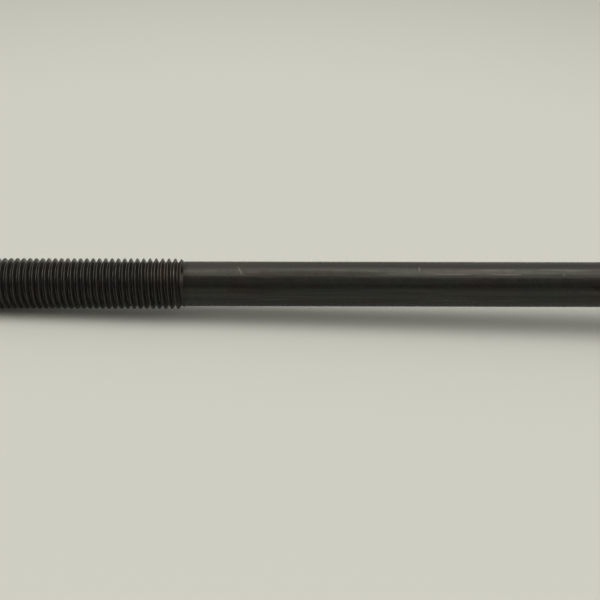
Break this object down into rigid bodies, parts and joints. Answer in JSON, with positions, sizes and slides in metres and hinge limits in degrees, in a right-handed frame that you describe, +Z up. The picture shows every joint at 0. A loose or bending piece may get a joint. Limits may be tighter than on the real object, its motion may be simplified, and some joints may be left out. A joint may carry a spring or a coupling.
{
  "type": "hex flange bolt",
  "caption": "Long dark steel hex flange bolt with a fine thread and a thinner plain shank, lying on a floor.",
  "frame": {"origin": "centre of the bounding box in plan, on the floor that the bolt lies on", "axes": "+X from the threaded tip to the head, +Y to the far side, +Z up"},
  "size_m": [0.2124, 0.026, 0.026],
  "materials": {
    "bolt": "black oxide on steel, satin"
  },
  "bodies": {
    "root": {"bolt": "bolt"}
  },
  "joints": []
}
